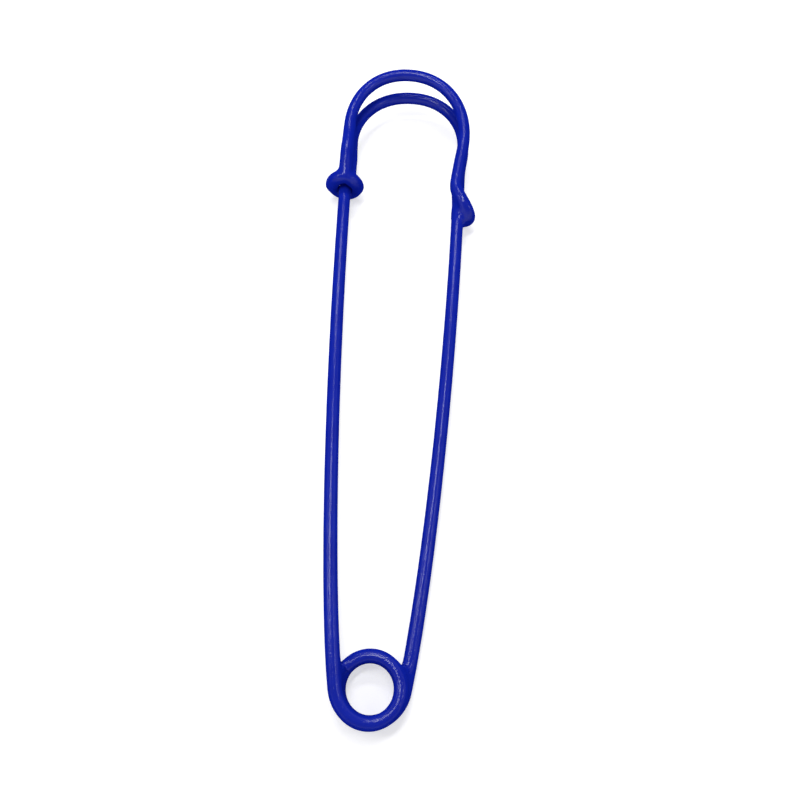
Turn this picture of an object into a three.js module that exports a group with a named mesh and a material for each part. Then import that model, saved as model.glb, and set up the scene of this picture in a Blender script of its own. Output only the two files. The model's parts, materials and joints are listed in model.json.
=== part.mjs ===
import * as THREE from "three";

// A large safety pin of the stitch-holder kind, bent from one length of coated wire.
// It lies on its back: +Y runs from the spring coil to the head, and +Z points away from the table.
// Driving dimensions, in millimetres and degrees.

// The wire: a round steel core under an all-over coat of blue enamel.
const coreDiameter = 1.9;
const coreClearance = 0.04;
const coatWall = 0.16;
const wireSides = 10;

// The spring coil: one and a half turns, its ends opened a little towards the arms.
const coilRadius = 5.15;
const needleLeadOut = 0.42;
const needleLeadAngle = 54;
const backLeadOut = 0.62;
const backLeadAngle = 82;
const coilEndAngle = 0.6;
const coilTurnGap = 0.43;
const coilEaseShare = 0.1;
const coilLevelAngle = 30;

// The catch eye, a keyhole loop round the needle.
const eyeX = -12.12;
const eyeY = 98.9;
const eyeClearance = 0.2;
const eyeLeftRoom = 0.15;
const eyeSag = 0.35;
const eyeFloorGap = 0.05;
const lobeStartAngle = 20;
const lobeStagger = 0.1;
const lobeHandle = 1.2;
const rearBendHandle = 1.8;
const frontLobeHandle = 2.2;
const frontBendHandle = 3.2;
const needleLeanAtEye = 1.2;
const needleFallAtEye = 0.6;

// The needle arm, cut at the places where it flexes.
const needleCoilHandle = 20;
const needleEyeHandle = 38;
const needleRootLength = 9;
const flexLength = 4;
const shaftLength = 34;
const pointTaperBefore = 1.3;
const pointTaperPast = 3.1;
const pointTipRadius = 0.35;

// The back arm, and the rear arch that it runs into.
const backTopX = 11.83;
const backTopY = 102.3;
const backCoilHandle = 25;
const backHeadHandle = 32;
const joggleHandle = 2.6;
const rearArchX = 0.57;
const rearHalfWidth = 11.87;
const rearShoulderY = 108.8;
const rearArchRise = 13.15;
const rearArchSkew = 0.42;
const shoulderLift = 0.35;
const rearLegHandle = 2.6;

// How much squarer than an ellipse the arches are: the lower, the squarer.
const archSquareness = 0.94;

// The neck, where both arches come down side by side to the eye.
const neckGap = 0.42;
const neckFrontX = 0.3;
const neckRearX = 0.8;
const neckPastEye = 2.2;
const neckRearRise = 1.85;

// The front arch, which rises above the rear one and comes down onto the back arm.
const frontArchX = 0.32;
const frontHalfWidth = 12.08;
const frontShoulderY = 109.2;
const frontArchRise = 13.6;
const frontArchSkew = -0.2;
const frontArchLift = 1.9;
const frontLeftRise = 1.0;
const frontRightRise = 2.0;
const frontLegHandle = 2.6;
const tailTopHandle = 4;
const tailEndHandle = 1.6;

// The tail, wrapped round the back arm.
const wrapGap = 0.2;
const wrapY = 92.2;
const wrapDrop = 5.1;
const wrapDropPower = 1.9;
const wrapStartAngle = 104;
const wrapEndAngle = -98;
const wrapRise = 1.0;

// How many straight steps each stretch of the wire has.
const pointSteps = 8;
const needleEndSteps = 3;
const flexSteps = 2;
const shaftSteps = 6;
const rootSteps = 4;
const coilSteps = 38;
const backArmSteps = 14;
const joggleSteps = 4;
const archSteps = 18;
const legSteps = 4;
const bendSteps = 7;
const loopSteps = 14;
const tailLegSteps = 6;
const wrapSteps = 16;

const coreRadius = coreDiameter / 2;
const boreRadius = coreRadius + coreClearance;
const wireRadius = boreRadius + coatWall;
const wireDiameter = 2 * wireRadius;
const degree = Math.PI / 180;
const turn = 360;

// A polygon of wireSides whose flats, not its corners, lie at the given radius.
const cornerShare = 1 / Math.cos(Math.PI / wireSides);

// Spring coil centreline, by the angle turned from the needle arm towards the back arm.
// Its last part, before the back arm, lies level on the table.
const coilSweep = 1.5 * turn - 2 * coilEndAngle;
const coilClimbSweep = coilSweep - coilLevelAngle;
const easedSlope = 1 / (1 - coilEaseShare);

function easedShare(share) {
  const fromEnd = Math.min(share, 1 - share);
  const rise =
    fromEnd < coilEaseShare
      ? (easedSlope * fromEnd * fromEnd) / (2 * coilEaseShare)
      : easedSlope * (fromEnd - coilEaseShare / 2);
  return share < 0.5 ? rise : 1 - rise;
}

const shareOneTurnBack = easedShare((coilSweep - turn) / coilClimbSweep);
const coilRise = (wireDiameter + coilTurnGap) / (1 - shareOneTurnBack);
const coilRearZ = wireRadius;

function coilPoint(share) {
  const turned = share * coilSweep;
  const angle = (turn / 2 + coilEndAngle + turned) * degree;
  const needleLead = Math.max(0, 1 - turned / needleLeadAngle);
  const backLead = Math.max(0, 1 - (coilSweep - turned) / backLeadAngle);
  const radius = coilRadius + needleLeadOut * needleLead ** 2 + backLeadOut * backLead ** 2;
  const climbed = easedShare(Math.min(1, turned / coilClimbSweep));
  const z = coilRearZ + coilRise * (1 - climbed);
  return new THREE.Vector3(radius * Math.cos(angle), radius * Math.sin(angle), z);
}

function offset(point, direction, distance) {
  return point.clone().addScaledVector(direction, distance);
}

function directionAt(point, from, to) {
  return point(to).sub(point(from)).normalize();
}

const smallShare = 1e-4;
const coilStart = coilPoint(0);
const coilEnd = coilPoint(1);
const intoCoil = directionAt(coilPoint, 0, smallShare);
const outOfCoil = directionAt(coilPoint, 1 - smallShare, 1);

// The needle arm, from the coil to the eye, and its point past the eye.
const eyeRadius = wireDiameter + eyeClearance;
const eyeZ = eyeFloorGap + wireRadius + eyeRadius;
const eyeCentre = new THREE.Vector3(eyeX, eyeY, eyeZ);
const alongNeedle = new THREE.Vector3(
  -Math.sin(needleLeanAtEye * degree),
  Math.cos(needleLeanAtEye * degree),
  -Math.sin(needleFallAtEye * degree),
).normalize();
const needleArm = new THREE.CubicBezierCurve3(
  coilStart,
  offset(coilStart, intoCoil, -needleCoilHandle),
  offset(eyeCentre, alongNeedle, -needleEyeHandle),
  eyeCentre,
);
const needleLength = needleArm.getLength();

// The back arm, from the coil to the joggle below the rear arch's right shoulder.
const alongHead = new THREE.Vector3(0, 1, 0);
const wrapRadius = wireDiameter + wrapGap;
const wrapBackZ = wireRadius + wrapRadius;
const backTop = new THREE.Vector3(backTopX, backTopY, wrapBackZ + shoulderLift / 2);
const backArm = new THREE.CubicBezierCurve3(
  coilEnd,
  offset(coilEnd, outOfCoil, backCoilHandle),
  offset(backTop, alongHead, -backHeadHandle),
  backTop,
);

// The neck: the two legs of the eye, the front arch's above the rear arch's.
const neckRear = new THREE.Vector3(eyeX + neckRearX, eyeY + neckPastEye, eyeZ + neckRearRise);
const neckStep = neckRearX - neckFrontX;
const neckPitch = wireDiameter + neckGap;
const neckClimb = Math.sqrt(neckPitch * neckPitch - neckStep * neckStep);
const neckFront = new THREE.Vector3(eyeX + neckFrontX, neckRear.y, neckRear.z + neckClimb);

// Half a squarish ellipse over the head, by its share from the right shoulder to the left one.
function archPoint(centreX, centreY, halfWidth, rise, skew, liftAt) {
  return (share) => {
    const angle = share * Math.PI;
    const sideways = Math.cos(angle);
    const squareSideways = Math.sign(sideways) * Math.abs(sideways) ** archSquareness;
    const x = centreX + halfWidth * squareSideways + skew * Math.sin(angle);
    const y = centreY + rise * Math.sin(angle) ** archSquareness;
    return new THREE.Vector3(x, y, liftAt(share));
  };
}

// The rear arch, from the joggle over the top and down its left leg to the neck.
const rearArch = archPoint(
  rearArchX,
  rearShoulderY,
  rearHalfWidth,
  rearArchRise,
  rearArchSkew,
  (share) => THREE.MathUtils.lerp(wrapBackZ + shoulderLift, neckRear.z, share),
);
const joggle = new THREE.CubicBezierCurve3(
  backTop,
  offset(backTop, alongHead, joggleHandle),
  offset(rearArch(0), alongHead, -joggleHandle),
  rearArch(0),
);
const rearLeg = new THREE.CubicBezierCurve3(
  rearArch(1),
  offset(rearArch(1), alongHead, -rearLegHandle),
  offset(neckRear, alongHead, rearLegHandle),
  neckRear,
);

// The catch eye: the rear arch's leg turns into its right lobe, the wire runs down that side,
// under the needle and up the left side, and turns over the needle into the front arch's leg.
function eyePoint(angle, along) {
  const sideways = Math.cos(angle * degree);
  const room = eyeLeftRoom * Math.max(0, -sideways) ** 2;
  const out = new THREE.Vector3(eyeRadius * sideways - room, 0, eyeRadius * Math.sin(angle * degree));
  return eyeCentre.clone().add(out).addScaledVector(alongNeedle, along);
}

function loopPoint(share) {
  const angle = lobeStartAngle - share * (turn / 2 + 2 * lobeStartAngle);
  const stagger = THREE.MathUtils.lerp(-lobeStagger, lobeStagger, share);
  return eyePoint(angle, stagger - eyeSag * Math.sin(share * Math.PI));
}

const intoLobe = directionAt(loopPoint, 0, smallShare);
const outOfLobe = directionAt(loopPoint, 1 - smallShare, 1);
const rightBend = new THREE.CubicBezierCurve3(
  neckRear,
  offset(neckRear, alongHead, -rearBendHandle),
  offset(loopPoint(0), intoLobe, -lobeHandle),
  loopPoint(0),
);
const leftBend = new THREE.CubicBezierCurve3(
  loopPoint(1),
  offset(loopPoint(1), outOfLobe, frontLobeHandle),
  offset(neckFront, alongHead, -frontBendHandle),
  neckFront,
);

// The tail's wrap, a tilted turn round the back arm: down across its front, then up behind it.
function shareAtY(curve, y) {
  const halvings = 40;
  let low = 0;
  let high = 1;
  for (let i = 0; i < halvings; i++) {
    const middle = (low + high) / 2;
    if (curve.getPoint(middle).y < y) low = middle;
    else high = middle;
  }
  return low;
}

const wrapShare = shareAtY(backArm, wrapY);
const wrapCentre = backArm.getPoint(wrapShare);
const alongBackArm = backArm.getTangent(wrapShare);
const acrossBackArm = alongBackArm.clone().cross(new THREE.Vector3(0, 0, 1)).normalize();
const aboveBackArm = acrossBackArm.clone().cross(alongBackArm).normalize();

function wrapPoint(share) {
  const angle = THREE.MathUtils.lerp(wrapStartAngle, wrapEndAngle, share);
  const along =
    angle > 0
      ? wrapDrop * (angle / wrapStartAngle) ** wrapDropPower
      : wrapRise * (angle / wrapEndAngle) ** 2;
  return offset(wrapCentre, alongBackArm, along)
    .addScaledVector(acrossBackArm, wrapRadius * Math.cos(angle * degree))
    .addScaledVector(aboveBackArm, wrapRadius * Math.sin(angle * degree));
}

// The front arch, from the neck over the top and down to the wrap.
const wrapStart = wrapPoint(0);
const intoWrap = directionAt(wrapPoint, 0, smallShare);
const frontArch = archPoint(
  frontArchX,
  frontShoulderY,
  frontHalfWidth,
  frontArchRise,
  frontArchSkew,
  (share) =>
    THREE.MathUtils.lerp(wrapStart.z + frontRightRise, neckFront.z + frontLeftRise, share) +
    frontArchLift * Math.sin(share * Math.PI),
);
const intoFrontArch = directionAt(frontArch, 1, 1 - smallShare);
const outOfFrontArch = directionAt(frontArch, smallShare, 0);
const frontLeg = new THREE.CubicBezierCurve3(
  neckFront,
  offset(neckFront, alongHead, frontLegHandle),
  offset(frontArch(1), intoFrontArch, -frontLegHandle),
  frontArch(1),
);
const tailLeg = new THREE.CubicBezierCurve3(
  frontArch(0),
  offset(frontArch(0), outOfFrontArch, tailTopHandle),
  offset(wrapStart, intoWrap, -tailEndHandle),
  wrapStart,
);

// The whole wire, from the needle's point to the tail, as stretches that share their end stations.
function pointsOf(point, steps) {
  return Array.from({ length: steps + 1 }, (_, i) => point(i / steps));
}

const pointStart = needleLength - pointTaperBefore;
const pointEnd = needleLength + pointTaperPast;

function needlePoint(distance) {
  return distance <= needleLength
    ? needleArm.getPointAt(distance / needleLength)
    : offset(eyeCentre, alongNeedle, distance - needleLength);
}

function needleStretch(name, from, to, steps) {
  return { name, points: pointsOf((share) => needlePoint(THREE.MathUtils.lerp(to, from, share)), steps) };
}

// Distances along the needle arm, from the coil.
const lowerFlexStart = needleRootLength;
const lowerShaftStart = lowerFlexStart + flexLength;
const middleFlexStart = lowerShaftStart + shaftLength;
const upperShaftStart = middleFlexStart + flexLength;
const upperFlexStart = upperShaftStart + shaftLength;
const needleEndStart = upperFlexStart + flexLength;

const stretches = [
  needleStretch("needle_point", pointStart, pointEnd, pointSteps),
  needleStretch("needle_end", needleEndStart, pointStart, needleEndSteps),
  needleStretch("needle_upper_flex", upperFlexStart, needleEndStart, flexSteps),
  needleStretch("needle_upper_shaft", upperShaftStart, upperFlexStart, shaftSteps),
  needleStretch("needle_middle_flex", middleFlexStart, upperShaftStart, flexSteps),
  needleStretch("needle_lower_shaft", lowerShaftStart, middleFlexStart, shaftSteps),
  needleStretch("needle_lower_flex", lowerFlexStart, lowerShaftStart, flexSteps),
  needleStretch("needle_root", 0, lowerFlexStart, rootSteps),
  { name: "spring_coil", points: pointsOf(coilPoint, coilSteps) },
  { name: "back_arm", points: backArm.getPoints(backArmSteps) },
  {
    name: "rear_arch",
    points: [
      ...joggle.getPoints(joggleSteps),
      ...pointsOf(rearArch, archSteps).slice(1),
      ...rearLeg.getPoints(legSteps).slice(1),
    ],
  },
  {
    name: "catch_eye",
    points: [
      ...rightBend.getPoints(bendSteps),
      ...pointsOf(loopPoint, loopSteps).slice(1),
      ...leftBend.getPoints(bendSteps).slice(1),
    ],
  },
  {
    name: "front_arch",
    points: [
      ...frontLeg.getPoints(legSteps),
      ...pointsOf(frontArch, archSteps).toReversed().slice(1),
    ],
  },
  {
    name: "tail_wrap",
    points: [...tailLeg.getPoints(tailLegSteps), ...pointsOf(wrapPoint, wrapSteps).slice(1)],
  },
];

// One list of stations for the whole wire, each with its direction and a square section frame
// that turns no more than the wire does. The frame is upright where the coil lies on the table.
const stations = [];
for (const stretch of stretches) {
  stretch.first = Math.max(0, stations.length - 1);
  for (const point of stretch.points.slice(stations.length ? 1 : 0)) {
    stations.push({ point });
  }
  stretch.last = stations.length - 1;
}
stations.forEach((station, i) => {
  const before = stations[Math.max(0, i - 1)].point;
  const after = stations[Math.min(stations.length - 1, i + 1)].point;
  station.along = after.clone().sub(before).normalize();
});

function carryFrame(from, to) {
  const swing = new THREE.Quaternion().setFromUnitVectors(from.along, to.along);
  to.up = from.up.clone().applyQuaternion(swing);
}

const coil = stretches.find((stretch) => stretch.name === "spring_coil");
stations[coil.last].up = new THREE.Vector3(0, 0, 1)
  .projectOnPlane(stations[coil.last].along)
  .normalize();
for (let i = coil.last; i < stations.length - 1; i++) carryFrame(stations[i], stations[i + 1]);
for (let i = coil.last; i > 0; i--) carryFrame(stations[i], stations[i - 1]);

// The coil's least gap to itself, measured between points of its line half a turn or more apart.
const coilLine = pointsOf(coilPoint, coilSteps * 10);
const halfTurnPoints = Math.floor((coilLine.length * turn) / (2 * coilSweep));
let leastPitch = Infinity;
coilLine.forEach((point, i) => {
  for (const other of coilLine.slice(i + halfTurnPoints)) {
    leastPitch = Math.min(leastPitch, point.distanceTo(other));
  }
});
console.log(`spring coil: least gap to itself ${(leastPitch - wireDiameter).toFixed(2)} mm`);

// The needle's point tapers by the distance from its tip.
const taperLength = pointTaperBefore + pointTaperPast;
const tipShare = pointTipRadius / wireRadius;
for (const station of stations) station.share = 1;
for (let i = 0; i <= stretches[0].last; i++) {
  const fromTip = Math.min(1, stations[i].point.distanceTo(stations[0].point) / taperLength);
  stations[i].share = tipShare + (1 - tipShare) * Math.sin((fromTip * Math.PI) / 2);
}

function ring(station, radius) {
  const across = station.along.clone().cross(station.up);
  return Array.from({ length: wireSides }, (_, k) => {
    const angle = ((k + 0.5) / wireSides) * turn * degree;
    const height = radius * cornerShare * Math.cos(angle);
    const width = radius * cornerShare * Math.sin(angle);
    return offset(station.point, station.up, height).addScaledVector(across, width);
  });
}

class Skin {
  constructor() {
    this.positions = [];
  }

  triangle(a, b, c) {
    for (const corner of [a, b, c]) this.positions.push(corner.x, corner.y, corner.z);
  }

  band(first, second) {
    first.forEach((corner, k) => {
      const next = (k + 1) % first.length;
      this.triangle(corner, first[next], second[next]);
      this.triangle(corner, second[next], second[k]);
    });
  }

  cap(corners) {
    const centre = corners.reduce((sum, corner) => sum.add(corner), new THREE.Vector3());
    centre.divideScalar(corners.length);
    corners.forEach((corner, k) => this.triangle(centre, corner, corners[(k + 1) % corners.length]));
  }

  geometry() {
    const made = new THREE.BufferGeometry();
    made.setAttribute("position", new THREE.Float32BufferAttribute(this.positions, 3));
    made.computeVertexNormals();
    return made;
  }
}

function solidWire(rings) {
  const skin = new Skin();
  for (let i = 1; i < rings.length; i++) skin.band(rings[i - 1], rings[i]);
  skin.cap(rings[0].toReversed());
  skin.cap(rings.at(-1));
  return skin.geometry();
}

function hollowWire(outer, inner) {
  const skin = new Skin();
  for (let i = 1; i < outer.length; i++) {
    skin.band(outer[i - 1], outer[i]);
    skin.band(inner[i], inner[i - 1]);
  }
  skin.band(inner[0], outer[0]);
  skin.band(outer.at(-1), inner.at(-1));
  return skin.geometry();
}

const steel = new THREE.MeshStandardMaterial({ color: 0x9a9da1, roughness: 0.35, metalness: 1 });
const enamel = new THREE.MeshStandardMaterial({ color: 0x16269b, roughness: 0.3, metalness: 0 });

const pin = new THREE.Group();

function addNode(name, geometry, material) {
  const mesh = new THREE.Mesh(geometry, material);
  mesh.name = name;
  pin.add(mesh);
}

for (const stretch of stretches) {
  const part = stations.slice(stretch.first, stretch.last + 1);
  const outer = part.map((station) => ring(station, wireRadius * station.share));
  const inner = part.map((station) => ring(station, boreRadius * station.share));
  const core = part.map((station) => ring(station, coreRadius * station.share));
  addNode(`${stretch.name}_coat`, hollowWire(outer, inner), enamel);
  addNode(`${stretch.name}_core`, solidWire(core), steel);
}

// The origin is the middle of the box's foot.
const box = new THREE.Box3().setFromObject(pin);
const middle = box.getCenter(new THREE.Vector3());
pin.position.set(-middle.x, -middle.y, -box.min.z);

export default pin;
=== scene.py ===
import json
import math

import bpy
import numpy as np
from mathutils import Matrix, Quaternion, Vector, noise


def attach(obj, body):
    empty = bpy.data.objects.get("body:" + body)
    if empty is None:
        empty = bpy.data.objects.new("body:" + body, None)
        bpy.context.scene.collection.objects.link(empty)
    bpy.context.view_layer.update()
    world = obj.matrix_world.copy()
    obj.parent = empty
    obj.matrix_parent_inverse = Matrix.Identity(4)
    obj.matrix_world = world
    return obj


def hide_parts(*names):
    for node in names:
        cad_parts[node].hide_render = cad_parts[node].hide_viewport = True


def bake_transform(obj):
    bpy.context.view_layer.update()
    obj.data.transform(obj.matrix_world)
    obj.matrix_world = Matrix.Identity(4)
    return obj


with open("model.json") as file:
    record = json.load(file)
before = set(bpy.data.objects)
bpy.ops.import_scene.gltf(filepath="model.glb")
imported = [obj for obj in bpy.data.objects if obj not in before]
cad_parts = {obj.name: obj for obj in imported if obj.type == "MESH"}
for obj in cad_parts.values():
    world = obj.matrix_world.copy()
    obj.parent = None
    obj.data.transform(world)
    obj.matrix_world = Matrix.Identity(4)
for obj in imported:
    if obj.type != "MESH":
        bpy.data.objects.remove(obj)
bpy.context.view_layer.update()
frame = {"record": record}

# Bent wire
# The whole pin is one length of springy steel wire, wound and bent on pegs. This is the line of
# its middle, from the needle's point through the coil and the head to the end of the tail.
MM = 0.001
WIRE_DIAMETER = 2.3
WIRE_RADIUS = WIRE_DIAMETER / 2
FULL_TURN = 2 * math.pi
LINE_STEP = 0.1
LINE_POINTS = 2000
SMALL_SHARE = 1e-4

swing = next(j for j in frame["record"]["behaviour"]["joints"] if j["name"] == "arm_swing")
COIL_CENTRE = Vector((swing["pos_m"][0], swing["pos_m"][1], 0))


def in_frame(point):
    """A point of the pin's own drawing, in millimetres from the coil's centre, in the frame."""
    return COIL_CENTRE + MM * point


def mix(near, far, share):
    return near + (far - near) * share


def points_of(point_at, count=LINE_POINTS):
    return [point_at(i / count) for i in range(count + 1)]


def bezier(start, first_handle, second_handle, end):
    def point_at(t):
        near = (1 - t) ** 3 * start + 3 * (1 - t) ** 2 * t * first_handle
        far = 3 * (1 - t) * t**2 * second_handle + t**3 * end
        return near + far

    return points_of(point_at)


def even_line(points):
    """The same line with its points about LINE_STEP apart."""
    travelled = [0.0]
    for before, after in zip(points, points[1:]):
        travelled.append(travelled[-1] + (after - before).length)
    count = round(travelled[-1] / LINE_STEP)
    line = []
    k = 0
    for i in range(count + 1):
        wanted = travelled[-1] * i / count
        while k < len(points) - 2 and travelled[k + 1] < wanted:
            k += 1
        share = (wanted - travelled[k]) / (travelled[k + 1] - travelled[k])
        line.append(points[k].lerp(points[k + 1], share))
    return line


def direction_at(point_at, start, end):
    return (point_at(end) - point_at(start)).normalized()


# The coil: one and a half turns, its ends opened a little towards the arms.
COIL_RADIUS = 5.15
COIL_TURNS = 1.5
COIL_END_ANGLE = math.radians(0.6)
COIL_LEVEL_ANGLE = math.radians(30)
COIL_TURN_GAP = 0.43
COIL_EASE_SHARE = 0.1
NEEDLE_LEAD_OUT = 0.42
NEEDLE_LEAD_ANGLE = math.radians(54)
BACK_LEAD_OUT = 0.62
BACK_LEAD_ANGLE = math.radians(82)

coil_sweep = COIL_TURNS * FULL_TURN - 2 * COIL_END_ANGLE
coil_climb_sweep = coil_sweep - COIL_LEVEL_ANGLE


def eased_share(share):
    slope = 1 / (1 - COIL_EASE_SHARE)
    from_end = min(share, 1 - share)
    if from_end < COIL_EASE_SHARE:
        rise = slope * from_end * from_end / (2 * COIL_EASE_SHARE)
    else:
        rise = slope * (from_end - COIL_EASE_SHARE / 2)
    return rise if share < 0.5 else 1 - rise


one_turn_back = eased_share((coil_sweep - FULL_TURN) / coil_climb_sweep)
coil_rise = (WIRE_DIAMETER + COIL_TURN_GAP) / (1 - one_turn_back)


def coil_point(share):
    turned = share * coil_sweep
    angle = math.pi + COIL_END_ANGLE + turned
    needle_lead = max(0, 1 - turned / NEEDLE_LEAD_ANGLE)
    back_lead = max(0, 1 - (coil_sweep - turned) / BACK_LEAD_ANGLE)
    radius = COIL_RADIUS + NEEDLE_LEAD_OUT * needle_lead**2 + BACK_LEAD_OUT * back_lead**2
    climbed = eased_share(min(1, turned / coil_climb_sweep))
    z = WIRE_RADIUS + coil_rise * (1 - climbed)
    return Vector((radius * math.cos(angle), radius * math.sin(angle), z))


coil_start = coil_point(0)
coil_end = coil_point(1)
into_coil = direction_at(coil_point, 0, SMALL_SHARE)
out_of_coil = direction_at(coil_point, 1 - SMALL_SHARE, 1)

# The needle arm, from the coil to the eye and a little past it.
EYE_X = -12.12
EYE_Y = 98.9
EYE_CLEARANCE = 0.2
EYE_FLOOR_GAP = 0.05
NEEDLE_LEAN = math.radians(1.2)
NEEDLE_FALL = math.radians(0.6)
NEEDLE_COIL_HANDLE = 20
NEEDLE_EYE_HANDLE = 38
TAPER_BEFORE = 1.3
TAPER_PAST = 3.1
TIP_RADIUS = 0.35

eye_radius = WIRE_DIAMETER + EYE_CLEARANCE
eye_centre = Vector((EYE_X, EYE_Y, EYE_FLOOR_GAP + WIRE_RADIUS + eye_radius))
along_needle = Vector(
    (-math.sin(NEEDLE_LEAN), math.cos(NEEDLE_LEAN), -math.sin(NEEDLE_FALL))
).normalized()
needle_arm = bezier(
    coil_start,
    coil_start - NEEDLE_COIL_HANDLE * into_coil,
    eye_centre - NEEDLE_EYE_HANDLE * along_needle,
    eye_centre,
)
needle_arm.append(eye_centre + TAPER_PAST * along_needle)
needle_arm.reverse()

# The back arm, up to the joggle below the rear arch's right shoulder.
WRAP_GAP = 0.2
SHOULDER_LIFT = 0.35
BACK_TOP_X = 11.83
BACK_TOP_Y = 102.3
BACK_COIL_HANDLE = 25
BACK_HEAD_HANDLE = 32

along_head = Vector((0, 1, 0))
wrap_radius = WIRE_DIAMETER + WRAP_GAP
wrap_back_z = WIRE_RADIUS + wrap_radius
back_top = Vector((BACK_TOP_X, BACK_TOP_Y, wrap_back_z + SHOULDER_LIFT / 2))
back_arm = bezier(
    coil_end,
    coil_end + BACK_COIL_HANDLE * out_of_coil,
    back_top - BACK_HEAD_HANDLE * along_head,
    back_top,
)

# The rear arch: the joggle, a squarish half round over the top, and the left leg down to the eye.
ARCH_SQUARENESS = 0.94
JOGGLE_HANDLE = 2.6
REAR_ARCH_X = 0.57
REAR_HALF_WIDTH = 11.87
REAR_SHOULDER_Y = 108.8
REAR_ARCH_RISE = 13.15
REAR_ARCH_SKEW = 0.42
REAR_LEG_HANDLE = 2.6
NECK_GAP = 0.3
NECK_FRONT_X = 0.13
NECK_REAR_X = 1.1
NECK_PAST_EYE = 2.2
NECK_REAR_RISE = 1.85

neck_rear = Vector((EYE_X + NECK_REAR_X, EYE_Y + NECK_PAST_EYE, eye_centre.z + NECK_REAR_RISE))
neck_step = NECK_REAR_X - NECK_FRONT_X
neck_climb = math.sqrt((WIRE_DIAMETER + NECK_GAP) ** 2 - neck_step**2)
neck_front = Vector((EYE_X + NECK_FRONT_X, neck_rear.y, neck_rear.z + neck_climb))


def arch_point(centre_x, centre_y, half_width, rise, skew, lift_at):
    def point_at(share):
        angle = share * math.pi
        sideways = math.cos(angle)
        square = math.copysign(abs(sideways) ** ARCH_SQUARENESS, sideways)
        upwards = max(0, math.sin(angle))
        x = centre_x + half_width * square + skew * upwards
        y = centre_y + rise * upwards**ARCH_SQUARENESS
        return Vector((x, y, lift_at(share)))

    return point_at


rear_point = arch_point(
    REAR_ARCH_X,
    REAR_SHOULDER_Y,
    REAR_HALF_WIDTH,
    REAR_ARCH_RISE,
    REAR_ARCH_SKEW,
    lambda share: mix(wrap_back_z + SHOULDER_LIFT, neck_rear.z, share),
)
joggle = bezier(
    back_top,
    back_top + JOGGLE_HANDLE * along_head,
    rear_point(0) - JOGGLE_HANDLE * along_head,
    rear_point(0),
)
rear_leg = bezier(
    rear_point(1),
    rear_point(1) - REAR_LEG_HANDLE * along_head,
    neck_rear + REAR_LEG_HANDLE * along_head,
    neck_rear,
)
rear_arch = joggle + points_of(rear_point)[1:] + rear_leg[1:]

# The catch eye: down the right side of the needle, under it and up the left side.
EYE_LEFT_ROOM = 0.15
EYE_SAG = 0.35
RIGHT_LOBE_ANGLE = math.radians(45)
LEFT_LOBE_ANGLE = math.radians(-245)
LOBE_STAGGER = 0.3
LOBE_HANDLE = 0.9
REAR_BEND_HANDLE = 1.2
FRONT_LOBE_HANDLE = 0.9
FRONT_BEND_HANDLE = 1.3
FRONT_BEND_CLIMB = 0.5


def eye_point(angle, along):
    sideways = math.cos(angle)
    room = EYE_LEFT_ROOM * max(0, -sideways) ** 2
    out = Vector((eye_radius * sideways - room, 0, eye_radius * math.sin(angle)))
    return eye_centre + out + along * along_needle


def loop_point(share):
    angle = mix(RIGHT_LOBE_ANGLE, LEFT_LOBE_ANGLE, share)
    stagger = mix(-LOBE_STAGGER, LOBE_STAGGER, share)
    return eye_point(angle, stagger - EYE_SAG * math.sin(share * math.pi))


front_climb = Vector((0, 1, FRONT_BEND_CLIMB)).normalized()
right_bend = bezier(
    neck_rear,
    neck_rear - REAR_BEND_HANDLE * along_head,
    loop_point(0) - LOBE_HANDLE * direction_at(loop_point, 0, SMALL_SHARE),
    loop_point(0),
)
left_bend = bezier(
    loop_point(1),
    loop_point(1) + FRONT_LOBE_HANDLE * direction_at(loop_point, 1 - SMALL_SHARE, 1),
    neck_front - FRONT_BEND_HANDLE * front_climb,
    neck_front,
)
catch_eye = right_bend + points_of(loop_point)[1:] + left_bend[1:]

# The tail's wrap round the back arm: down across its front, then up behind it.
WRAP_Y = 92.2
WRAP_DROP = 5.1
WRAP_DROP_POWER = 1.9
WRAP_START_ANGLE = math.radians(104)
WRAP_END_ANGLE = math.radians(-98)
WRAP_RISE = 1.0

wrap_index = next(i for i, point in enumerate(back_arm) if point.y >= WRAP_Y)
wrap_centre = back_arm[wrap_index]
along_back = (back_arm[wrap_index + 1] - back_arm[wrap_index - 1]).normalized()
across_back = along_back.cross(Vector((0, 0, 1))).normalized()
above_back = across_back.cross(along_back).normalized()


def wrap_point(share):
    angle = mix(WRAP_START_ANGLE, WRAP_END_ANGLE, share)
    if angle > 0:
        along = WRAP_DROP * (angle / WRAP_START_ANGLE) ** WRAP_DROP_POWER
    else:
        along = WRAP_RISE * (angle / WRAP_END_ANGLE) ** 2
    sideways = wrap_radius * math.cos(angle) * across_back
    upwards = wrap_radius * math.sin(angle) * above_back
    return wrap_centre + along * along_back + sideways + upwards


# The front arch, from the neck over the top, and the leg down to the wrap.
FRONT_ARCH_X = 0.32
FRONT_HALF_WIDTH = 12.08
FRONT_SHOULDER_Y = 109.2
FRONT_ARCH_RISE = 13.6
FRONT_ARCH_SKEW = -0.2
FRONT_ARCH_LIFT = 1.9
FRONT_LEFT_RISE = 1.0
FRONT_RIGHT_RISE = 2.0
FRONT_LEG_HANDLE = 2.6
TAIL_TOP_HANDLE = 4
TAIL_END_HANDLE = 1.6

wrap_start = wrap_point(0)


def front_lift(share):
    slope = mix(wrap_start.z + FRONT_RIGHT_RISE, neck_front.z + FRONT_LEFT_RISE, share)
    return slope + FRONT_ARCH_LIFT * math.sin(share * math.pi)


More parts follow.
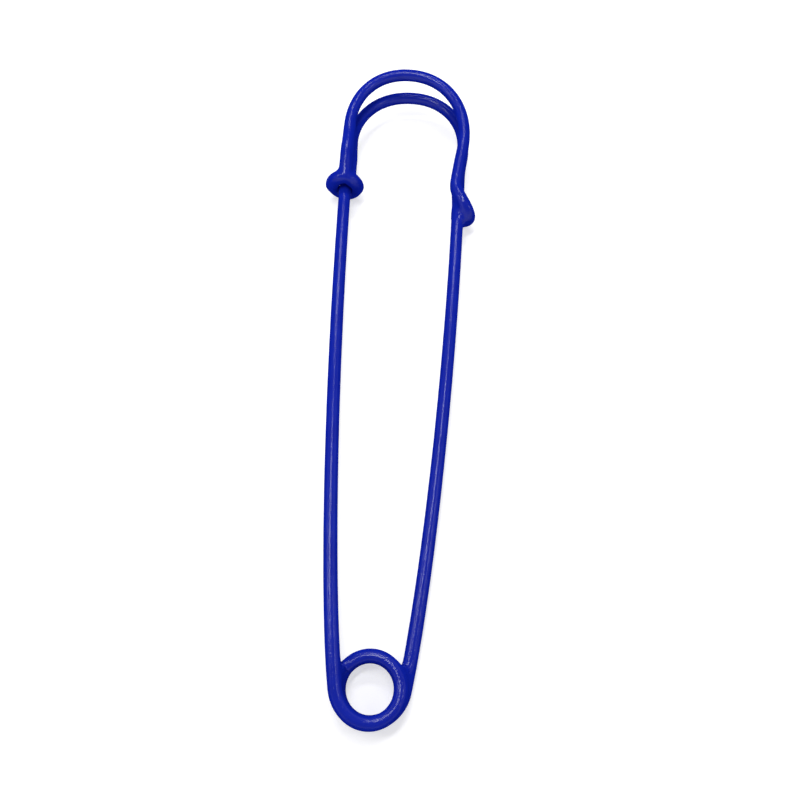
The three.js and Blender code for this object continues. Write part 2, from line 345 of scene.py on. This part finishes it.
front_point = arch_point(
    FRONT_ARCH_X,
    FRONT_SHOULDER_Y,
    FRONT_HALF_WIDTH,
    FRONT_ARCH_RISE,
    FRONT_ARCH_SKEW,
    front_lift,
)
front_leg = bezier(
    neck_front,
    neck_front + FRONT_LEG_HANDLE * front_climb,
    front_point(1) - FRONT_LEG_HANDLE * direction_at(front_point, 1, 1 - SMALL_SHARE),
    front_point(1),
)
front_arch = front_leg + points_of(front_point)[-2::-1]
tail_leg = bezier(
    front_point(0),
    front_point(0) + TAIL_TOP_HANDLE * direction_at(front_point, SMALL_SHARE, 0),
    wrap_start - TAIL_END_HANDLE * direction_at(wrap_point, 0, SMALL_SHARE),
    wrap_start,
)
tail = tail_leg + points_of(wrap_point)[1:]

stretches = {
    "needle": needle_arm,
    "coil": points_of(coil_point),
    "back_arm": back_arm,
    "rear_arch": rear_arch,
    "catch_eye": catch_eye,
    "front_arch": front_arch,
    "tail": tail,
}
wire_line = []
first_of = {}
last_of = {}
for name, points in stretches.items():
    line = even_line(points)
    if wire_line:
        line = line[1:]
    first_of[name] = max(0, len(wire_line) - 1)
    wire_line.extend(line)
    last_of[name] = len(wire_line) - 1

# Enamel coat
# The bent pin is dipped in thick cobalt-blue enamel and baked. Where two stretches of the wire
# touch or nearly touch, the enamel has run together into webs, and over the needle it has closed
# the crotch between the eye's two legs into a hood.
ENAMEL_DEEP = (0.0035, 0.0120, 0.300, 1)
ENAMEL_BRIGHT = (0.0050, 0.0160, 0.345, 1)
PIGMENT_SPAN = (0.3, 0.7)
PIGMENT_PER_METRE = 260
PEEL_PER_METRE = 2200
PEEL_DEPTH = 0.00005
ENAMEL_GLOSS = 0.26
GLOSS_SPAN = (0.06, 0.30)


def new_material(name):
    material = bpy.data.materials.new(name)
    material.use_nodes = True
    tree = material.node_tree
    return material, tree, tree.nodes["Principled BSDF"]


def grain(tree, per_metre, detail):
    """An uneven pattern over the piece's own coordinates."""
    place = tree.nodes.new("ShaderNodeTexCoord")
    pattern = tree.nodes.new("ShaderNodeTexNoise")
    pattern.inputs["Scale"].default_value = per_metre
    pattern.inputs["Detail"].default_value = detail
    tree.links.new(place.outputs["Object"], pattern.inputs["Vector"])
    return pattern.outputs["Fac"]


def two_colours(tree, pattern, span, colours):
    """A colour that runs from the first to the second as the pattern crosses its span."""
    ramp = tree.nodes.new("ShaderNodeValToRGB")
    for element, position, colour in zip(ramp.color_ramp.elements, span, colours):
        element.position = position
        element.color = colour
    tree.links.new(pattern, ramp.inputs["Fac"])
    return ramp.outputs["Color"]


def ranged(tree, value, span, ends, run="LINEAR"):
    """A number that runs from the first end to the second as the value crosses its span."""
    step = tree.nodes.new("ShaderNodeMapRange")
    step.interpolation_type = run
    step.inputs["From Min"].default_value = span[0]
    step.inputs["From Max"].default_value = span[1]
    step.inputs["To Min"].default_value = ends[0]
    step.inputs["To Max"].default_value = ends[1]
    tree.links.new(value, step.inputs["Value"])
    return step.outputs["Result"]


enamel, tree, shader = new_material("blue_enamel")
shader.inputs["Roughness"].default_value = 0.16

pigment = grain(tree, PIGMENT_PER_METRE, 3)
shade = two_colours(tree, pigment, PIGMENT_SPAN, (ENAMEL_DEEP, ENAMEL_BRIGHT))
tree.links.new(shade, shader.inputs["Base Color"])

# The coat's gloss fades out as its skin turns away, where it would only mirror the surroundings.
facing = tree.nodes.new("ShaderNodeLayerWeight")
gloss = ranged(tree, facing.outputs["Facing"], GLOSS_SPAN, (ENAMEL_GLOSS, 0), "SMOOTHSTEP")
shader.inputs["Specular IOR Level"].default_value = ENAMEL_GLOSS
tree.links.new(gloss, shader.inputs["Specular IOR Level"])

peel = tree.nodes.new("ShaderNodeBump")
peel.inputs["Strength"].default_value = 1
peel.inputs["Distance"].default_value = PEEL_DEPTH
tree.links.new(grain(tree, PEEL_PER_METRE, 2), peel.inputs["Height"])
tree.links.new(peel.outputs["Normal"], shader.inputs["Normal"])

# The coat's thickness: a little more along the two arms, and less and less at the point.
SKIN_EXTRA = 0.04
ARM_EXTRA = 0.045
ARM_EASE = 6

skin_radius = WIRE_RADIUS + SKIN_EXTRA
taper_length = TAPER_BEFORE + TAPER_PAST


def line_steps(length):
    """How many steps of the wire's line a length in millimetres takes."""
    return round(length / LINE_STEP)


arm_places = (
    last_of["needle"] - line_steps(ARM_EASE),
    last_of["needle"],
    first_of["back_arm"],
    first_of["back_arm"] + line_steps(ARM_EASE),
    last_of["back_arm"] - line_steps(ARM_EASE),
    last_of["back_arm"],
)


def skin_radius_at(i):
    extra = float(np.interp(i, arm_places, (ARM_EXTRA, 0, 0, ARM_EXTRA, ARM_EXTRA, 0)))
    share = min(1, i * LINE_STEP / taper_length)
    return TIP_RADIUS + (skin_radius + extra - TIP_RADIUS) * math.sin(share * math.pi / 2)


# The hood's middle line: an arch over the needle, from the eye's right lobe to its left one.
HOOD_RADIUS = 1.1
HOOD_ALONG = -0.5
HOOD_LIFT = 0.7
HOOD_POINTS = 200


def hood_point(share):
    angle = share * math.pi
    return eye_point(angle, HOOD_ALONG) + Vector((0, 0, HOOD_LIFT * math.sin(angle)))


hood_line = even_line(points_of(hood_point, HOOD_POINTS))

# The points of both lines from which the gaps between stretches are measured. Their order tells
# a stretch from its neighbours, and the hood's order is far from the wire's. The needle's free
# end is left out, because it slides in the eye and no enamel holds it there.
NEEDLE_WEB_LENGTH = 14
NEAR_EVERY = 2
HOOD_ORDER = -1e6

needle_web_end = last_of["needle"] - line_steps(NEEDLE_WEB_LENGTH)
wire_order = range(needle_web_end, len(wire_line), NEAR_EVERY)
near_wire = [tuple(wire_line[i]) for i in wire_order]
near_hood = [tuple(point) for point in hood_line[::NEAR_EVERY]]
near_points = np.array(near_wire + near_hood)
near_order = np.array([float(i) for i in wire_order] + [HOOD_ORDER] * len(near_hood))
near_radius = np.array([skin_radius] * len(near_wire) + [HOOD_RADIUS] * len(near_hood))

# A gap is a blended distance, so that it changes smoothly from one neighbour to the next. It is
# levelled to be nought on the skin of a straight stretch. What lies within the window along the
# wire is the stretch's own.
GAP_BLEND = 0.12
OWN_WINDOW = 5
FAR = 10
POINTS_AT_ONCE = 2000
TINY = 1e-30
EYE_WEB_REACH = 1.15
WEB_REACH = 2.2
LEG_WEB_REACH = 3.4

near_step = NEAR_EVERY * LINE_STEP
gap_level = math.log(math.sqrt(FULL_TURN * GAP_BLEND * WIRE_RADIUS) / near_step)
longest_gap = LEG_WEB_REACH + WIRE_DIAMETER


def gap_to_others(points, order):
    """Each point's distance from the skin of the other stretches, and the way away from them."""
    gaps = np.full(len(points), float(FAR))
    away = np.zeros((len(points), 3))
    for start in range(0, len(points), POINTS_AT_ONCE):
        some = points[start : start + POINTS_AT_ONCE]
        low = some.min(axis=0) - longest_gap
        high = some.max(axis=0) + longest_gap
        inside = np.flatnonzero(((near_points > low) & (near_points < high)).all(axis=1))
        if not len(inside):
            continue
        apart = some[:, None, :] - near_points[None, inside, :]
        distance = np.linalg.norm(apart, axis=2)
        along_wire = np.abs(near_order[None, inside] - order[start : start + POINTS_AT_ONCE, None])
        weight = np.exp((near_radius[inside] - distance) / GAP_BLEND)
        weight[along_wire * LINE_STEP < OWN_WINDOW] = 0
        total = weight.sum(axis=1)
        rows = np.flatnonzero(total > math.exp(-FAR / GAP_BLEND))
        gaps[start + rows] = GAP_BLEND * (gap_level - np.log(total[rows]))
        pull = (weight / np.maximum(distance, LINE_STEP))[:, :, None] * apart
        pull = pull[rows].sum(axis=1)
        away[start + rows] = pull / np.maximum(np.linalg.norm(pull, axis=1), TINY)[:, None]
    return gaps, away


# The channel that the needle slides in, at places along the needle from the eye's middle. It
# widens and rises towards the mouth, and closes in on the needle's thin end behind the eye.
CHANNEL_PLACES = (-1.6, -0.4, 1.5)
CHANNEL_RADII = (1.5, 1.3, 1.0)
CHANNEL_LIFTS = (0.55, 0.05, 0)
CHANNEL_LENGTH = 4


def channel_depth(points):
    """How deep each point lies in the channel through the eye."""
    apart = points - np.array(eye_centre)
    along = apart @ np.array(along_needle)
    apart -= along[:, None] * np.array(along_needle)
    apart[:, 2] -= np.interp(along, CHANNEL_PLACES, CHANNEL_LIFTS)
    out = np.linalg.norm(apart, axis=1)
    radius = np.interp(along, CHANNEL_PLACES, CHANNEL_RADII)
    return np.where(np.abs(along) < CHANNEL_LENGTH, radius - out, -FAR)


# How far the enamel runs across a gap. The reach grows a little way out of the eye, and is
# longest between the legs of the two arches, from past the eye to past the shoulders.
EYE_WEB_FROM = 3.6
EYE_WEB_TO = 5.2
LEG_WEB_STARTS = 1.1
LEG_WEB_FULL = 5.1
LEG_WEB_FADES = -1.2
LEG_WEB_ENDS = 4.8

leg_places = (
    EYE_Y + LEG_WEB_STARTS,
    EYE_Y + LEG_WEB_FULL,
    FRONT_SHOULDER_Y + LEG_WEB_FADES,
    FRONT_SHOULDER_Y + LEG_WEB_ENDS,
)
leg_reaches = (WEB_REACH, LEG_WEB_REACH, LEG_WEB_REACH, WEB_REACH)


def web_reach(points):
    legs = np.interp(points[:, 1], leg_places, leg_reaches)
    from_eye = np.linalg.norm(points - np.array(eye_centre), axis=1)
    share = np.clip((from_eye - EYE_WEB_FROM) / (EYE_WEB_TO - EYE_WEB_FROM), 0, 1)
    return mix(EYE_WEB_REACH, legs, share * share * (3 - 2 * share))


def skin_field(points, own, order):
    """Below 0 inside the enamel of this stretch, its neighbours and the web between them.

    The web is a rounded joining of the two skins, as deep as a quarter of its reach.
    """
    gap, _ = gap_to_others(points, order)
    reach = web_reach(points)
    overlap = np.maximum(reach - np.abs(own - gap), 0) / reach
    field = np.minimum(own, gap) - overlap**2 * reach / 4
    return np.maximum(field, channel_depth(points)), gap


# Each skin point is sought outwards in steps and then by halving. Where the neighbour's skin is
# far nearer than its own, the point dives under it, so that two skins never fight for one place.
WEB_STEP = 0.1
WEB_LIMIT = 3.2
WEB_HALVINGS = 7
WEB_OVERLAP = 0.3
HIDDEN_DEPTH = 0.5


def webbed(centres, outward, radii, order):
    """How far each skin point stands out, once neighbouring enamels have run together."""
    reach = radii.copy()
    points = centres + outward * reach[:, None]
    gap, _ = gap_to_others(points, order)
    free_needle = (order >= 0) & (order < needle_web_end)
    active = np.flatnonzero((gap < web_reach(points)) & ~free_needle)
    found = [np.zeros(0, dtype=int)]
    while len(active):
        further = reach[active] + WEB_STEP
        points = centres[active] + outward[active] * further[:, None]
        field, gap = skin_field(points, further - radii[active], order[active])
        crossed = field >= 0
        found.append(active[crossed])
        inside = ~crossed & (gap > -HIDDEN_DEPTH) & (further < radii[active] + WEB_LIMIT)
        reach[active[~crossed]] = further[~crossed]
        active = active[inside]
    found = np.concatenate(found)
    low = reach[found]
    high = low + WEB_STEP
    for _ in range(WEB_HALVINGS):
        middle = (low + high) / 2
        points = centres[found] + outward[found] * middle[:, None]
        field, _ = skin_field(points, middle - radii[found], order[found])
        low = np.where(field < 0, middle, low)
        high = np.where(field < 0, high, middle)
    points = centres[found] + outward[found] * low[:, None]
    gap, _ = gap_to_others(points, order[found])
    beyond = (low - radii[found] - gap) / web_reach(points) - WEB_OVERLAP
    reach[found] = low - HIDDEN_DEPTH * np.clip(beyond / WEB_OVERLAP, 0, 1)
    return reach


WEB_START = 0.03


def web_normals(mesh, centres, outward, reach, radii, order):
    """The mesh's own normals, and on the webs those of the run-together enamel."""
    flat = np.zeros(3 * len(mesh.vertices))
    mesh.vertices.foreach_get("normal", flat)
    normals = flat.reshape(-1, 3)
    own = reach - radii
    moved = np.flatnonzero(own > 0)
    points = centres[moved] + outward[moved] * reach[moved][:, None]
    gap, away = gap_to_others(points, order[moved])
    share = np.clip(0.5 + 0.5 * (gap - own[moved]) / web_reach(points), 0, 1)[:, None]
    run = share * outward[moved] + (1 - share) * away
    run /= np.maximum(np.linalg.norm(run, axis=1), SMALL_SHARE)[:, None]
    strength = np.clip(own[moved] / WEB_START, 0, 1)[:, None]
    normals[moved] = mix(normals[moved], run, strength)
    normals /= np.maximum(np.linalg.norm(normals, axis=1), SMALL_SHARE)[:, None]
    return normals


# The baked enamel's thickness wavers in long ripples and short specks.
RIPPLE_HEIGHT = 0.012
RIPPLE_LENGTH = 3.1
SPECK_HEIGHT = 0.006
SPECK_LENGTH = 0.9


def enamel_ripple(point):
    """How high the enamel stands above its mean."""
    ripple = RIPPLE_HEIGHT * noise.noise(point / RIPPLE_LENGTH)
    return ripple + SPECK_HEIGHT * noise.noise(point / SPECK_LENGTH)


# Rings are laid round the wire at stations. A station is a centre, the wire's direction, the
# skin's radius, and how far its outward directions lean along the wire, as on a domed end.
COAT_SIDES = 60
STEEP = 0.9


def rings_of(stations, sides):
    """Centre, outward direction and radius of every point of the rings round the stations."""
    last = stations[0][1]
    upright = Vector((0, 0, 1)) if abs(last.z) < STEEP else Vector((1, 0, 0))
    up = upright - upright.dot(last) * last
    centres = []
    outward = []
    radii = []
    for centre, direction, radius, lean in stations:
        up = last.rotation_difference(direction) @ up
        up = (up - up.dot(direction) * direction).normalized()
        last = direction
        across = direction.cross(up)
        for k in range(sides):
            angle = FULL_TURN * k / sides
            flat = math.cos(angle) * up + math.sin(angle) * across
            centres.append(tuple(centre))
            outward.append(tuple(math.cos(lean) * flat + math.sin(lean) * direction))
            radii.append(radius)
    return np.array(centres), np.array(outward), np.array(radii)


def tube(name, vertices, sides, material):
    """A closed tube through rings of points, as a piece of the scene."""
    faces = []
    for near in range(0, len(vertices) - sides, sides):
        far = near + sides
        for k in range(sides):
            after = (k + 1) % sides
            faces.append((near + k, near + after, far + after, far + k))
    faces.append(tuple(reversed(range(sides))))
    faces.append(tuple(range(len(vertices) - sides, len(vertices))))
    mesh = bpy.data.meshes.new(name)
    mesh.from_pydata(vertices, [], faces)
    mesh.shade_smooth()
    mesh.materials.append(material)
    piece = bpy.data.objects.new(name, mesh)
    bpy.context.scene.collection.objects.link(piece)
    return piece


def coat_mesh(name, stations, order):
    """Enamel along the stations, with the webs drawn out of it."""
    centres, outward, radii = rings_of(stations, COAT_SIDES)
    orders = np.repeat(np.array(order, dtype=float), COAT_SIDES)
    reach = webbed(centres, outward, radii, orders)
    vertices = []
    for centre, out, distance in zip(centres, outward, reach.tolist()):
        skin = Vector(centre) + distance * Vector(out)
        vertices.append(in_frame(skin + enamel_ripple(skin) * Vector(out)))
    piece = tube(name, vertices, COAT_SIDES, enamel)
    piece.data.normals_split_custom_set_from_vertices(
        web_normals(piece.data, centres, outward, reach, radii, orders).tolist()
    )
    return piece


def station_at(i, inset=0.0):
    """The station at a place on the wire's line."""
    inner = min(max(i, 1), len(wire_line) - 2)
    direction = (wire_line[inner + 1] - wire_line[inner - 1]).normalized()
    return wire_line[i], direction, skin_radius_at(i) - inset, 0.0


DOME_LEANS = (math.radians(25), math.radians(50), math.radians(70), math.radians(84))


def dome(place, side):
    """Rings that close the coat roundly over a cut end of the wire, all from one centre."""
    centre, direction, radius, _ = station_at(place)
    return [(centre, direction, radius, side * lean) for lean in DOME_LEANS]


HIDDEN_INSET = 0.006
TUCKED_INSET = 0.4


def tuck(place, step):
    """Two rings that carry the coat on, just inside the next stretch's coat."""
    return [station_at(place + step, HIDDEN_INSET), station_at(place + 2 * step, TUCKED_INSET)]


DOME_BACK = 1.0


def coat_piece(name, first, last, ring_gap):
    """The coat from one place on the line to another, its rings about this far apart."""
    step = line_steps(ring_gap)
    count = max(2, round((last - first) / step))
    places = [round(mix(first, last, i / count)) for i in range(count + 1)]
    stations = [station_at(place) for place in places]
    before = dome(first, -1) if first == 0 else tuck(first, -step)
    if last == len(wire_line) - 1:
        places = [place for place in places if place <= last - line_steps(DOME_BACK)]
        stations = stations[: len(places)]
        after = dome(places[-1], 1)
    else:
        after = tuck(last, step)
    stations = before[::-1] + stations + after
    order = [first] * len(before) + places + [last] * len(after)
    return coat_mesh(name, stations, order)


# Spring coil
# The coil's one and a half turns, wire and coat.
COIL_RING_GAP = 0.3
CORE_SIDES = 20
CORE_RING_GAP = 0.6
CORE_SHARE = 0.84
CORE_END = 0.9
STEEL_DARK = (0.26, 0.27, 0.28, 1)
STEEL_LIGHT = (0.40, 0.41, 0.42, 1)
STEEL_ROUGHNESS = (0.28, 0.42)
DRAW_LINES_PER_METRE = 4000

steel, tree, shader = new_material("drawn_steel")
shader.inputs["Metallic"].default_value = 1
draw_lines = grain(tree, DRAW_LINES_PER_METRE, 2)
grey = two_colours(tree, draw_lines, (0, 1), (STEEL_DARK, STEEL_LIGHT))
tree.links.new(grey, shader.inputs["Base Color"])
roughness = ranged(tree, draw_lines, (0, 1), STEEL_ROUGHNESS)
tree.links.new(roughness, shader.inputs["Roughness"])


def core_piece(name, first, last):
    """The steel wire inside the coat, from one place on the line to another."""
    if first == 0:
        first = line_steps(CORE_END)
    if last == len(wire_line) - 1:
        last -= line_steps(DOME_BACK) + line_steps(CORE_END)
    count = max(2, round((last - first) / line_steps(CORE_RING_GAP)))
    stations = []
    for i in range(count + 1):
        centre, direction, radius, _ = station_at(round(mix(first, last, i / count)))
        stations.append((centre, direction, CORE_SHARE * radius, 0.0))
    centres, outward, radii = rings_of(stations, CORE_SIDES)
    points = centres + outward * radii[:, None]
    return tube(name, [in_frame(Vector(point)) for point in points], CORE_SIDES, steel)


def coil_turns(piece, node):
    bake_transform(piece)
    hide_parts(node)


coil_ends = (first_of["coil"], last_of["coil"])
coil_turns(coat_piece("spring_coil_enamel", *coil_ends, COIL_RING_GAP), "spring_coil_coat")
coil_turns(core_piece("spring_coil_steel", *coil_ends), "spring_coil_core")

# Needle arm
# The sharp arm, wire and coat, thinned at the blunt point. The real arm bends evenly when it is
# bowed. Here it is cut into three lengths, which meet halfway between the listed bend places.
ARM_RING_GAP = 0.5
LOWER_BEND = (8, 14)
MIDDLE_BEND = (45, 53)
UPPER_BEND = (84, 90)


def needle_place(distance):
    """The place on the line this far up the arm from the coil."""
    return last_of["needle"] - line_steps(distance)


def needle_length(name, start, end, bodies, bend, *nodes):
    last = needle_place(start)
    first = 0 if end is None else needle_place(end)
    coat = coat_piece(name + "_enamel", first, last, ARM_RING_GAP)
    core = core_piece(name + "_steel", first, last)
    for piece, layer in ((coat, "_coat"), (core, "_core")):
        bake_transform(piece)
        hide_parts(*[node + layer for node in nodes])


lower_seam = (LOWER_BEND[1] + MIDDLE_BEND[0]) / 2
upper_seam = (MIDDLE_BEND[1] + UPPER_BEND[0]) / 2
needle_length(
    "needle_root",
    0,
    lower_seam,
    ("needle_root", "needle_lower"),
    LOWER_BEND,
    "needle_root",
    "needle_lower_flex",
    "needle_lower_shaft",
)
needle_length(
    "needle_middle",
    lower_seam,
    upper_seam,
    ("needle_lower", "needle_upper"),
    MIDDLE_BEND,
    "needle_middle_flex",
    "needle_upper_shaft",
)
needle_length(
    "needle_end",
    upper_seam,
    None,
    ("needle_upper", "needle_end"),
    UPPER_BEND,
    "needle_upper_flex",
    "needle_end",
    "needle_point",
)

# Back arm and head
# The fixed side of the pin: the back arm, both arches, the eye and the tail, wire and coat. They
# are one unbroken wire, and their coats are one skin.
BEND_RING_GAP = 0.2


def fixed_length(stretch, ring_gap, node):
    ends = (first_of[stretch], last_of[stretch])
    coat = coat_piece(node + "_enamel", *ends, ring_gap)
    core = core_piece(node + "_steel", *ends)
    for piece, layer in ((coat, "_coat"), (core, "_core")):
        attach(piece, "frame")
        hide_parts(node + layer)


fixed_length("back_arm", ARM_RING_GAP, "back_arm")
fixed_length("rear_arch", BEND_RING_GAP, "rear_arch")
fixed_length("catch_eye", BEND_RING_GAP, "catch_eye")
fixed_length("front_arch", BEND_RING_GAP, "front_arch")
fixed_length("tail", BEND_RING_GAP, "tail_wrap")

# Eye hood
# The web of enamel that bridges the eye's two legs over the needle. It is only coat, with no
# wire in it, and runs into both lobes of the eye.
hood_stations = []
for i in range(0, len(hood_line), line_steps(BEND_RING_GAP)):
    before = hood_line[max(0, i - 1)]
    after = hood_line[min(len(hood_line) - 1, i + 1)]
    hood_stations.append((hood_line[i], (after - before).normalized(), HOOD_RADIUS, 0.0))
hood = coat_mesh("catch_eye_hood", hood_stations, [HOOD_ORDER] * len(hood_stations))
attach(hood, "frame")
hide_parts("catch_eye_coat")

# Table
# A plain pale surface under the pin, white to the camera and to reflections, with the pin's own
# soft shadow on it. Its glow rises with the distance from the pin, where the lamps light it less.
TABLE_SIZE = 6
TABLE_COLOUR = (0.7, 0.7, 0.7, 1)
GLOW_SPAN = (0.2, 0.9)
GLOW = (0.5, 0.72)

table_mesh = bpy.data.meshes.new("table")
half = TABLE_SIZE / 2
corners = [(-half, -half, 0), (half, -half, 0), (half, half, 0), (-half, half, 0)]
table_mesh.from_pydata(corners, [], [(0, 1, 2, 3)])
table = bpy.data.objects.new("table", table_mesh)
bpy.context.scene.collection.objects.link(table)

paper, tree, shader = new_material("white_table")
shader.inputs["Base Color"].default_value = TABLE_COLOUR
shader.inputs["Roughness"].default_value = 0.9
shader.inputs["Specular IOR Level"].default_value = 0
shader.inputs["Emission Color"].default_value = (1, 1, 1, 1)


def combined(tree, operation, first, second):
    """Two numbers put together by one operation."""
    sum_node = tree.nodes.new("ShaderNodeMath")
    sum_node.operation = operation
    tree.links.new(first, sum_node.inputs[0])
    tree.links.new(second, sum_node.inputs[1])
    return sum_node.outputs["Value"]


ray = tree.nodes.new("ShaderNodeLightPath")
seen = ray.outputs["Is Camera Ray"]
for kind in ("Is Glossy Ray", "Is Transmission Ray"):
    seen = combined(tree, "ADD", seen, ray.outputs[kind])
place = tree.nodes.new("ShaderNodeTexCoord")
distance = tree.nodes.new("ShaderNodeVectorMath")
distance.operation = "LENGTH"
tree.links.new(place.outputs["Object"], distance.inputs[0])
level = ranged(tree, distance.outputs["Value"], GLOW_SPAN, GLOW)
tree.links.new(combined(tree, "MULTIPLY", seen, level), shader.inputs["Emission Strength"])
table_mesh.materials.append(paper)

# Light
# Two wide, shallow soft boxes above the pin, two small ones beside it, and a white cove round it
# that dims towards the ceiling.
COVE_LIGHT = 1
CEILING_LIGHT = 0.2
CEILING_SPAN = (0.35, 0.75)

surround = bpy.data.worlds.new("surround")
surround.use_nodes = True
tree = surround.node_tree
background = tree.nodes["Background"]
background.inputs["Color"].default_value = (1, 1, 1, 1)
place = tree.nodes.new("ShaderNodeTexCoord")
direction = tree.nodes.new("ShaderNodeSeparateXYZ")
tree.links.new(place.outputs["Generated"], direction.inputs["Vector"])
ends = (COVE_LIGHT, CEILING_LIGHT)
cove = ranged(tree, direction.outputs["Z"], CEILING_SPAN, ends, "SMOOTHSTEP")
tree.links.new(cove, background.inputs["Strength"])
bpy.context.scene.world = surround


def soft_box(name, place, width, depth, power):
    """A plain rectangular lamp that faces the pin."""
    lamp = bpy.data.lights.new(name, "AREA")
    lamp.shape = "RECTANGLE"
    lamp.size = width
    lamp.size_y = depth
    lamp.energy = power
    box = bpy.data.objects.new(name, lamp)
    box.location = place
    box.rotation_euler = (-Vector(place)).to_track_quat("-Z", "Y").to_euler()
    bpy.context.scene.collection.objects.link(box)


soft_box("head_light", place=(-0.03, 0.23, 0.32), width=0.20, depth=0.035, power=0.48)
soft_box("middle_light", place=(-0.04, 0.046, 0.32), width=0.20, depth=0.032, power=0.40)
soft_box("left_light", place=(-0.28, -0.01, 0.31), width=0.05, depth=0.10, power=0.15)
soft_box("right_light", place=(0.25, -0.01, 0.31), width=0.05, depth=0.10, power=0.10)

# Camera
# Above the pin, its foot near the coil and tilted towards the head, as in the photograph.
PICTURE_WIDTH = 800
FOCAL_PIXELS = 745
SENSOR = 36
CAMERA_FOOT = Vector((4.99, 0.08, 0))
CAMERA_HEIGHT = 134
CAMERA_TILT = math.radians(21.3)
CAMERA_LEAN = math.radians(3.2)
NEAREST_SEEN = 0.005

lens = bpy.data.cameras.new("camera")
lens.sensor_width = SENSOR
lens.lens = FOCAL_PIXELS / PICTURE_WIDTH * SENSOR
lens.clip_start = NEAREST_SEEN
camera = bpy.data.objects.new("camera", lens)
camera.location = in_frame(CAMERA_FOOT + Vector((0, 0, CAMERA_HEIGHT)))
camera.rotation_mode = "QUATERNION"
camera.rotation_quaternion = Quaternion((0, 0, 1), CAMERA_LEAN) @ Quaternion((1, 0, 0), CAMERA_TILT)
bpy.context.scene.collection.objects.link(camera)
bpy.context.scene.camera = camera
bpy.context.scene.view_settings.view_transform = "Standard"
